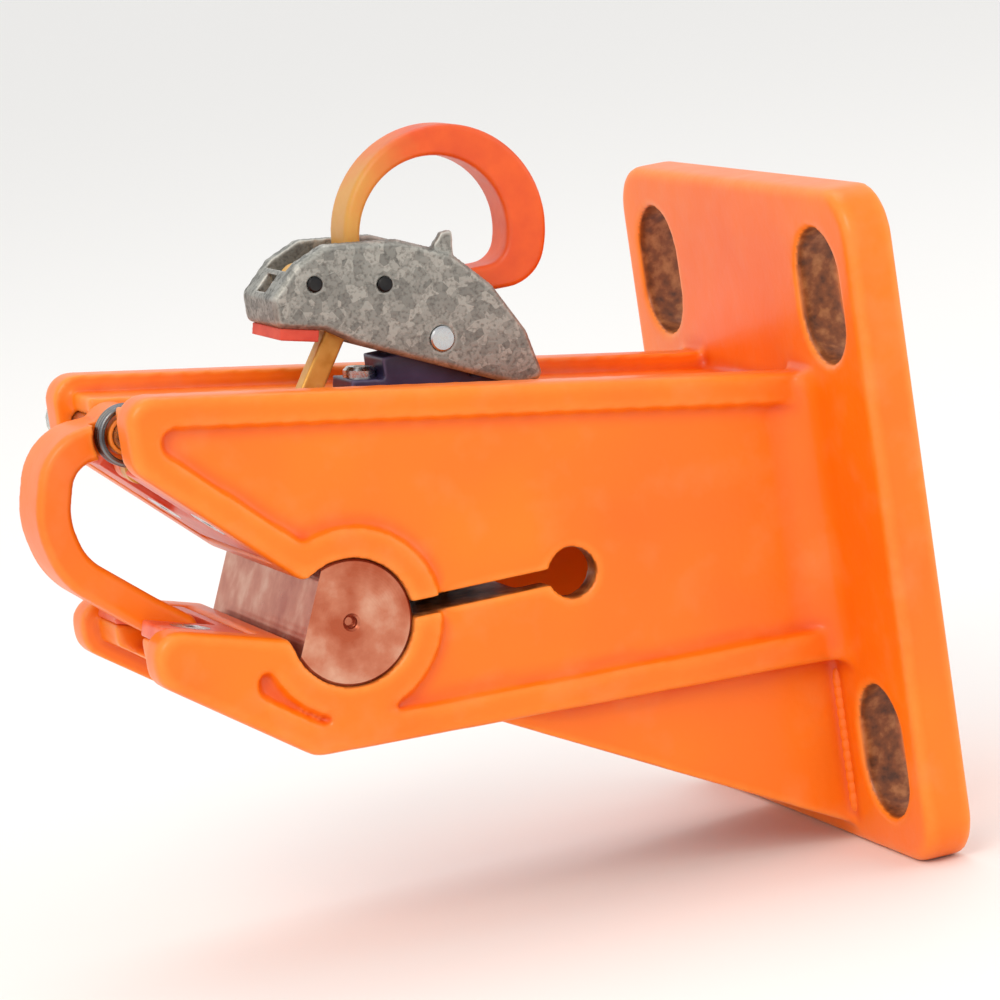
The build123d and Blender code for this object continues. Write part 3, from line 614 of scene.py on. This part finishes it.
def open_finish(name):
    """A new material with its tree, its shader and the piece's own coordinates."""
    material = bpy.data.materials.new(name)
    material.use_nodes = True
    tree = material.node_tree
    place = add(tree, "ShaderNodeTexCoord", {}).outputs["Object"]
    return material, tree, tree.nodes["Principled BSDF"], place


finishes = {}


def keep_finish(slot, material):
    """Files a finish under the slot that wears it."""
    finishes[slot] = material
    print(slot, "is", material.name, "with", len(material.node_tree.nodes), "nodes")


print("slots to finish:", sorted(set(slots.values())))

# %% [markdown]
# ### Powder paint on cast steel
#
# Powder paint is sprayed dry and melted in an oven. It flows a little, which leaves a faint orange
# peel about 1.5 mm across over the slower waves of the sand casting. Outer edges get a lighter
# painted highlight and corners a deeper, redder painted shade. The edge value stored on each vertex
# tells the two apart, and speckle breaks the painted highlight up.

# %% Orange powder paint
def orange_powder_paint():
    """Glossy powder paint with painted highlights on outer edges and painted shade in corners, with
    orange peel, a little dust, and a dark brown painted shade on the walls of the bores."""
    material, tree, shader, place = open_finish("orange_powder_paint")
    edge = add(tree, "ShaderNodeAttribute", {}, attribute_name="edge").outputs["Fac"]
    drift = add(tree, "ShaderNodeTexNoise", {"Vector": place, "Scale": 1 / (38 * MM), "Detail": 2})
    base = add(
        tree, "ShaderNodeValToRGB", {"Fac": drift},
        stops=[(0.3, "#F26C00"), (0.55, "#F87600"), (0.75, "#FD7E00")],
    )
    speckle = add(tree, "ShaderNodeTexNoise", {"Vector": place, "Scale": 1 / (2.2 * MM), "Detail": 4})
    breaks = add(tree, "ShaderNodeMapRange", {"Value": speckle, "To Min": 0.6, "To Max": 1.2})
    broken = add(tree, "ShaderNodeMath", {0: edge, 1: breaks}, operation="MULTIPLY")
    # painted highlight mask: outer edges, broken up by the speckle, are lit towards light orange
    outer = add(
        tree, "ShaderNodeMapRange",
        {"Value": broken, "From Min": 0.25, "From Max": 1.3, "To Min": 0, "To Max": 0.75},
    )
    # painted shade mask: inner corners are darkened towards deep red
    inner = add(
        tree, "ShaderNodeMapRange",
        {"Value": edge, "From Min": -0.9, "From Max": -0.1, "To Min": 0.8, "To Max": 0},
    )
    # thin holds the painted highlight: colour #FFA040 mixed onto the outer edges
    thin = add(tree, "ShaderNodeMix", {0: outer, 6: base, 7: linear("#FFA040")}, data_type="RGBA")
    # the painted shade: colour #D84400 mixed into the inner corners
    painted_corner_shade = add(
        tree, "ShaderNodeMix", {0: inner, 6: thin.outputs[2], 7: linear("#D84400")}, data_type="RGBA"
    )
    cloud = add(tree, "ShaderNodeTexNoise", {"Vector": place, "Scale": 1 / (9 * MM), "Detail": 6})
    dust = add(
        tree, "ShaderNodeMapRange",
        {"Value": cloud, "From Min": 0.52, "From Max": 0.8, "To Min": 0, "To Max": 0.16},
    )
    dusty = add(
        tree, "ShaderNodeMix", {0: dust, 6: painted_corner_shade.outputs[2], 7: linear("#E8A070")}, data_type="RGBA"
    )
    # dark brown painted shade for the bore walls, mottled by this noise
    bore_mottle = add(tree, "ShaderNodeTexNoise", {"Vector": place, "Scale": 1 / (2.5 * MM), "Detail": 5})
    painted_bore_shade = add(
        tree, "ShaderNodeValToRGB", {"Fac": bore_mottle},
        stops=[(0.3, "#4E260F"), (0.5, "#7E421C"), (0.7, "#A86A3C")],
    )
    # 1 on the bore walls, where the painted shade replaces the paint colour
    bore_wall = add(tree, "ShaderNodeAttribute", {}, attribute_name="bore_wall").outputs["Fac"]
    coloured = add(tree, "ShaderNodeMix", {0: bore_wall, 6: dusty.outputs[2], 7: painted_bore_shade}, data_type="RGBA")
    haze = add(tree, "ShaderNodeTexNoise", {"Vector": place, "Scale": 1 / (6 * MM), "Detail": 3})
    rough = add(tree, "ShaderNodeMapRange", {"Value": haze, "To Min": 0.34, "To Max": 0.5})
    sand = add(tree, "ShaderNodeTexNoise", {"Vector": place, "Scale": 1 / (5 * MM), "Detail": 2})
    waves = add(tree, "ShaderNodeBump", {"Height": sand, "Distance": 0.16 * MM, "Strength": 0.5})
    peel = add(tree, "ShaderNodeTexNoise", {"Vector": place, "Scale": 1 / (1.5 * MM), "Detail": 1})
    bumps = add(
        tree, "ShaderNodeBump",
        {"Height": peel, "Distance": 0.05 * MM, "Strength": 0.7, "Normal": waves},
    )
    fill(tree, shader, {
        "Base Color": coloured.outputs[2], "Roughness": rough, "Normal": bumps,
        "Specular IOR Level": 0.35, "Coat Weight": 0.18, "Coat Roughness": 0.16,
    })
    return material


keep_finish("orange_paint", orange_powder_paint())

# %% [markdown]
# ### Galvanised cast steel
#
# The lever is dipped in molten zinc after casting. The zinc freezes in crystals a few millimetres
# across, each a slightly different grey, over the grit of the sand mould. Worn edges shine through.
# Voronoi cells have straight borders and one value each, as frozen crystals do.

# %% Galvanised steel
def galvanised_casting():
    """Grey zinc crystals over a gritty casting, brighter on edges where it is handled."""
    material, tree, shader, place = open_finish("galvanised_casting")
    edge = add(tree, "ShaderNodeAttribute", {}, attribute_name="edge").outputs["Fac"]
    crystals = add(tree, "ShaderNodeTexVoronoi", {"Vector": place, "Scale": 1 / (1.8 * MM)})
    shade = add(tree, "ShaderNodeRGBToBW", {"Color": crystals.outputs["Color"]})
    spangle = add(
        tree, "ShaderNodeValToRGB", {"Fac": shade},
        stops=[(0.15, "#7E7E79"), (0.5, "#92928C"), (0.85, "#A9A8A1")],
    )
    grit = add(tree, "ShaderNodeTexNoise", {"Vector": place, "Scale": 1 / (0.7 * MM), "Detail": 3})
    pits = add(
        tree, "ShaderNodeMapRange",
        {"Value": grit, "From Min": 0.3, "From Max": 0.52, "To Min": 0.55, "To Max": 0},
    )
    pitted = add(tree, "ShaderNodeMix", {0: pits, 6: spangle, 7: linear("#4C4B47")}, data_type="RGBA")
    wear = add(tree, "ShaderNodeMapRange", {"Value": edge, "From Min": 0.3, "To Max": 0.7})
    worn = add(
        tree, "ShaderNodeMix", {0: wear, 6: pitted.outputs[2], 7: linear("#D2D0C8")}, data_type="RGBA"
    )
    rough = add(tree, "ShaderNodeMapRange", {"Value": grit, "To Min": 0.62, "To Max": 0.42})
    bumps = add(tree, "ShaderNodeBump", {"Height": grit, "Distance": 0.12 * MM, "Strength": 0.8})
    fill(tree, shader, {
        "Base Color": worn.outputs[2], "Metallic": 0.7, "Roughness": rough, "Normal": bumps,
    })
    return material


keep_finish("grey_cast_steel", galvanised_casting())

# %% [markdown]
# ### Zinc-plated, blackened and spring steel
#
# Screws are plated in a barrel: bright, with faint blue and yellow tints where the plating is thick
# or thin. Pins are blackened in hot oil, so they are dark and soft in shine. Spring wire is drawn
# through a die, which leaves fine lines, and is left oiled. One function makes all three, because
# they differ only in colour and in how rough they are.

# %% Small steel hardware
def bright_steel(name, tints, rough_low, rough_high, scratch):
    """Metal with a slow tint, lighter edges, fine scratches one way, and uneven shine."""
    material, tree, shader, place = open_finish(name)
    edge = add(tree, "ShaderNodeAttribute", {}, attribute_name="edge").outputs["Fac"]
    drift = add(tree, "ShaderNodeTexNoise", {"Vector": place, "Scale": 1 / (7 * MM), "Detail": 3})
    tint = add(tree, "ShaderNodeValToRGB", {"Fac": drift}, stops=list(zip((0.3, 0.5, 0.72), tints)))
    wear = add(tree, "ShaderNodeMapRange", {"Value": edge, "From Min": 0.3, "To Max": 0.5})
    worn = add(tree, "ShaderNodeMix", {0: wear, 6: tint, 7: linear("#D8D6D2")}, data_type="RGBA")
    rows = add(tree, "ShaderNodeMapping", {"Vector": place, "Scale": (1.0, 0.12, 1.0)})
    lines = add(tree, "ShaderNodeTexNoise", {"Vector": rows, "Scale": 1 / scratch, "Detail": 2})
    rough = add(
        tree, "ShaderNodeMapRange",
        {"Value": lines, "From Min": 0.3, "From Max": 0.7, "To Min": rough_low, "To Max": rough_high},
    )
    bumps = add(tree, "ShaderNodeBump", {"Height": lines, "Distance": 0.02 * MM, "Strength": 0.5})
    fill(tree, shader, {
        "Base Color": worn.outputs[2], "Metallic": 1.0, "Roughness": rough, "Normal": bumps,
    })
    return material


keep_finish("zinc_steel", bright_steel(
    "zinc_plated_steel", ("#A7ABB4", "#C4C6C8", "#D6CFB8"), 0.2, 0.38, 0.5 * MM
))
keep_finish("dark_steel", bright_steel(
    "blackened_steel", ("#1F1F21", "#2C2C2E", "#3C3B3A"), 0.35, 0.5, 0.6 * MM
))
keep_finish("spring_steel", bright_steel(
    "oiled_spring_wire", ("#5C5D60", "#77787B", "#8E8B84"), 0.25, 0.4, 0.3 * MM
))

# %% [markdown]
# ### Turned seat
#
# The swivel seat is turned on a lathe and ground, and is left unpainted. The tool leaves rings round
# its axis on the end faces, so the bump is a wave of the distance from that axis. The steel's colour
# is a salmon painted reflection of the orange paint around it.

# %% Turned steel
def turned_steel():
    """Unpainted steel with tool rings round the seat's axis, and a salmon painted reflection."""
    material, tree, shader, place = open_finish("turned_steel")
    from_axis = [-value for value in joints["seat_swivel"]["pos_m"]]
    centred = add(tree, "ShaderNodeMapping", {"Vector": place, "Location": from_axis})
    parts = add(tree, "ShaderNodeSeparateXYZ", {"Vector": centred}).outputs
    flat = add(tree, "ShaderNodeCombineXYZ", {"X": parts["X"], "Z": parts["Z"]})
    out = add(tree, "ShaderNodeVectorMath", {0: flat}, operation="LENGTH").outputs["Value"]
    turns = add(tree, "ShaderNodeMath", {0: out, 1: 2 * pi / (0.55 * MM)}, operation="MULTIPLY")
    rings = add(tree, "ShaderNodeMath", {0: turns}, operation="SINE")
    cuts = add(tree, "ShaderNodeMapRange", {"Value": rings, "From Min": -1, "From Max": 1})
    bumps = add(tree, "ShaderNodeBump", {"Height": cuts, "Distance": 0.015 * MM, "Strength": 0.6})
    reflection_drift = add(tree, "ShaderNodeTexNoise", {"Vector": place, "Scale": 1 / (8 * MM), "Detail": 5})
    # painted reflection: salmon tones stand in for the orange paint mirrored in the steel
    painted_orange_reflection = add(
        tree, "ShaderNodeValToRGB", {"Fac": reflection_drift},
        stops=[(0.32, "#B0583C"), (0.5, "#C67A5E"), (0.7, "#DCA88E")],
    )
    haze = add(tree, "ShaderNodeTexNoise", {"Vector": place, "Scale": 1 / (3 * MM), "Detail": 3})
    rough = add(tree, "ShaderNodeMapRange", {"Value": haze, "To Min": 0.24, "To Max": 0.36})
    fill(tree, shader, {"Base Color": painted_orange_reflection, "Metallic": 0.9, "Roughness": rough, "Normal": bumps})
    return material


keep_finish("turned_steel", turned_steel())

# %% [markdown]
# ### Navy paint and yellow zinc
#
# The pedestal is brush painted in navy, and the brush leaves long lines, which noise stretched one
# way gives. The link is zinc plated and passivated yellow, which runs from straw to pink like oil on
# water, so its ramp has four colours of about the same lightness.

# %% Navy paint and passivated zinc
def navy_paint():
    """Brushed enamel: dark, half glossy, lighter on edges, with long faint brush lines."""
    material, tree, shader, place = open_finish("navy_enamel")
    edge = add(tree, "ShaderNodeAttribute", {}, attribute_name="edge").outputs["Fac"]
    drift = add(tree, "ShaderNodeTexNoise", {"Vector": place, "Scale": 1 / (6 * MM), "Detail": 3})
    tone = add(tree, "ShaderNodeValToRGB", {"Fac": drift}, stops=[(0.3, "#251F40"), (0.7, "#3A3458")])
    wear = add(tree, "ShaderNodeMapRange", {"Value": edge, "From Min": 0.3, "To Max": 0.6})
    worn = add(tree, "ShaderNodeMix", {0: wear, 6: tone, 7: linear("#6E6A8C")}, data_type="RGBA")
    rows = add(tree, "ShaderNodeMapping", {"Vector": place, "Scale": (0.15, 1.0, 1.0)})
    lines = add(tree, "ShaderNodeTexNoise", {"Vector": rows, "Scale": 1 / (0.6 * MM), "Detail": 3})
    rough = add(tree, "ShaderNodeMapRange", {"Value": lines, "To Min": 0.3, "To Max": 0.45})
    bumps = add(tree, "ShaderNodeBump", {"Height": lines, "Distance": 0.04 * MM, "Strength": 0.5})
    fill(tree, shader, {"Base Color": worn.outputs[2], "Roughness": rough, "Normal": bumps})
    return material


def yellow_zinc():
    """Passivated zinc: straw yellow that drifts to pink, over punched strip."""
    material, tree, shader, place = open_finish("yellow_passivated_zinc")
    drift = add(tree, "ShaderNodeTexNoise", {"Vector": place, "Scale": 1 / (5 * MM), "Detail": 4})
    rainbow = add(
        tree, "ShaderNodeValToRGB", {"Fac": drift},
        stops=[(0.25, "#C98A30"), (0.45, "#E0A850"), (0.6, "#E7B45C"), (0.78, "#D98A62")],
    )
    haze = add(tree, "ShaderNodeTexNoise", {"Vector": place, "Scale": 1 / (1.2 * MM), "Detail": 3})
    rough = add(tree, "ShaderNodeMapRange", {"Value": haze, "To Min": 0.3, "To Max": 0.5})
    grit = add(tree, "ShaderNodeTexNoise", {"Vector": place, "Scale": 1 / (0.5 * MM), "Detail": 3})
    bumps = add(tree, "ShaderNodeBump", {"Height": grit, "Distance": 0.03 * MM, "Strength": 0.5})
    fill(tree, shader, {"Base Color": rainbow, "Metallic": 0.6, "Roughness": rough, "Normal": bumps})
    return material


keep_finish("navy_paint", navy_paint())
keep_finish("yellow_zinc", yellow_zinc())

# %% [markdown]
# ### Rubber and urethane
#
# The nose bumper is soft rubber with a matt mould skin. The jaw pads and the ring are moulded
# urethane, which is slightly clear: light goes a little way in, so the shader scatters some of it
# under the surface. The ring's low X side, where light falls on it, gets an ochre painted highlight.

# %% Rubber and urethane
def moulded(name, dark, light, rough, skin, depth, painted_light_node=None):
    """Moulded rubber or urethane: even colour with a slow cloud, and a fine skin from the mould. If the
    last argument names a CAD node, an ochre painted highlight covers the low X part of that node's box."""
    material, tree, shader, place = open_finish(name)
    cloud = add(tree, "ShaderNodeTexNoise", {"Vector": place, "Scale": 1 / (7 * MM), "Detail": 4})
    colour = add(tree, "ShaderNodeValToRGB", {"Fac": cloud}, stops=[(0.3, dark), (0.7, light)])
    # the ochre painted highlight on the side where the light falls, for the ring only
    if painted_light_node:
        low, high = corners(painted_light_node)
        across = add(tree, "ShaderNodeSeparateXYZ", {"Vector": place})
        patch = add(tree, "ShaderNodeTexNoise", {"Vector": place, "Scale": 1 / (9 * MM), "Detail": 3})
        sway = add(tree, "ShaderNodeMapRange", {"Value": patch, "To Min": -6 * MM, "To Max": 6 * MM})
        wavy = add(tree, "ShaderNodeMath", {0: across, 1: sway}, operation="ADD")
        # painted highlight mask: 1 on the low X side of the node's box, fading with a wavy border
        painted_light_mask = add(tree, "ShaderNodeMapRange", {
            "Value": wavy, "From Min": low[0] + 2 * MM, "From Max": low[0] + 0.42 * (high[0] - low[0]),
            "To Min": 1, "To Max": 0,
        })
        # mixes in the ochre painted highlight #CF9440
        colour = add(
            tree, "ShaderNodeMix", {0: painted_light_mask, 6: colour, 7: linear("#CF9440")}, data_type="RGBA"
        ).outputs[2]
    haze = add(tree, "ShaderNodeTexNoise", {"Vector": place, "Scale": 1 / (2 * MM), "Detail": 3})
    shine = add(
        tree, "ShaderNodeMapRange", {"Value": haze, "To Min": rough - 0.07, "To Max": rough + 0.07}
    )
    grit = add(tree, "ShaderNodeTexNoise", {"Vector": place, "Scale": 1 / skin, "Detail": 2})
    bumps = add(tree, "ShaderNodeBump", {"Height": grit, "Distance": depth, "Strength": 0.6})
    fill(tree, shader, {
        "Base Color": colour, "Roughness": shine, "Normal": bumps,
        "Subsurface Weight": 0.12, "Subsurface Scale": 1.5 * MM,
    })
    return material


keep_finish("red_rubber", moulded(
    "nose_rubber", "#C23A28", "#DE5A44", 0.65, 0.5 * MM, 0.05 * MM
))
keep_finish("red_urethane", moulded(
    "jaw_urethane", "#E2502E", "#F27C58", 0.38, 0.9 * MM, 0.04 * MM
))
# the ring gets an ochre painted highlight on its low X side
keep_finish("orange_urethane", moulded(
    "ring_urethane", "#D64A0C", "#E65C12", 0.42, 0.8 * MM, 0.04 * MM, painted_light_node="pull_ring"
))

# %% Finish of each slot
pieces = {
    "orange_paint": [body, gate, *beads],
    "grey_cast_steel": [lever],
    "yellow_zinc": [link],
    "navy_paint": [pedestal],
    "orange_urethane": [ring],
    "red_rubber": [pad],
    "red_urethane": [upper_liner, lower_liner],
    "zinc_steel": [pinch, hinge],
}
for node_name, slot in slots.items():
    mesh = nodes[node_name].data
    mesh.materials.clear()
    mesh.materials.append(finishes[slot])
for slot, members in pieces.items():
    for piece in members:
        piece.data.materials.clear()
        piece.data.materials.append(finishes[slot])
print("finishes:", sorted(finishes))
